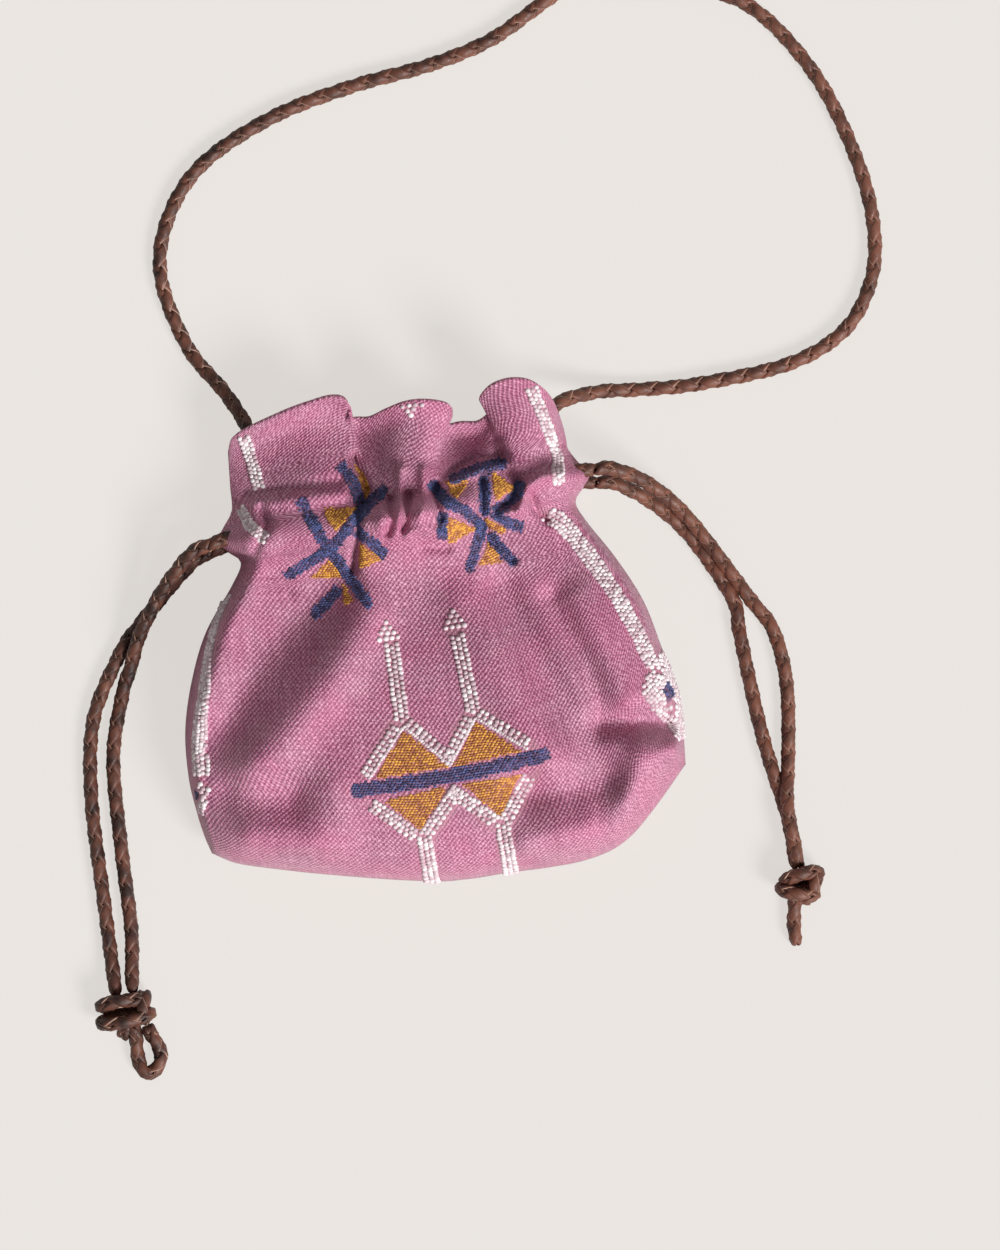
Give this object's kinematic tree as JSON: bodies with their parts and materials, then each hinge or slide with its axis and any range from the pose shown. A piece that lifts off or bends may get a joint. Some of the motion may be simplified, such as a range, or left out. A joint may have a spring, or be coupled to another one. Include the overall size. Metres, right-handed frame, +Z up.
{
  "type": "drawstring pouch",
  "caption": "Woven cloth drawstring pouch with a ruffled collar, a gathered casing, braided leather cords with knotted ends, a shoulder strap and geometric patterns worked in coloured yarn.",
  "frame": {"origin": "middle of the pouch in plan, without its cords, on the table it lies on", "axes": "+Y from the bottom seam towards the mouth, +X across the front to the right, +Z up from the table, out of the front panel"},
  "size_m": [0.3279, 0.4283, 0.0467],
  "materials": {
    "cloth": "silky plain weave",
    "leather": "braided, worn",
    "white_yarn": "raised stitches",
    "orange_yarn": "raised stitches",
    "blue_yarn": "raised stitches"
  },
  "bodies": {
    "root": {"back_panel": "cloth", "diamond_bar": "blue_yarn", "diamond_field_1": "orange_yarn", "diamond_field_2": "orange_yarn", "diamond_field_3": "orange_yarn", "diamond_field_4": "orange_yarn", "diamond_lower_outline": "white_yarn", "diamond_upper_outline": "white_yarn", "drawstring_back_run": "leather", "drawstring_front_run": "leather", "front_panel": "cloth", "left_collar_stripe": "white_yarn", "left_cross_1": "blue_yarn", "left_cross_2": "blue_yarn", "left_cross_3": "blue_yarn", "left_cross_4": "blue_yarn", "left_cross_field_1": "orange_yarn", "left_cross_field_2": "orange_yarn", "left_cross_field_3": "orange_yarn", "left_cross_field_4": "orange_yarn", "left_knot": "leather", "left_side_diamond": "white_yarn", "left_side_dot": "blue_yarn", "left_side_stripe": "white_yarn", "left_strand_back": "leather", "left_strand_front": "leather", "middle_tab_mark": "white_yarn", "right_collar_stripe": "white_yarn", "right_cross_1": "blue_yarn", "right_cross_2": "blue_yarn", "right_cross_3": "blue_yarn", "right_cross_field_1": "orange_yarn", "right_cross_field_2": "orange_yarn", "right_cross_field_3": "orange_yarn", "right_cross_field_4": "orange_yarn", "right_cross_field_5": "orange_yarn", "right_knot": "leather", "right_side_diamond": "white_yarn", "right_side_dot": "blue_yarn", "right_side_stripe": "white_yarn", "right_strand_back": "leather", "right_strand_front": "leather", "strap_coil": "leather", "strap_left_run": "leather", "strap_right_run": "leather"}
  },
  "joints": []
}
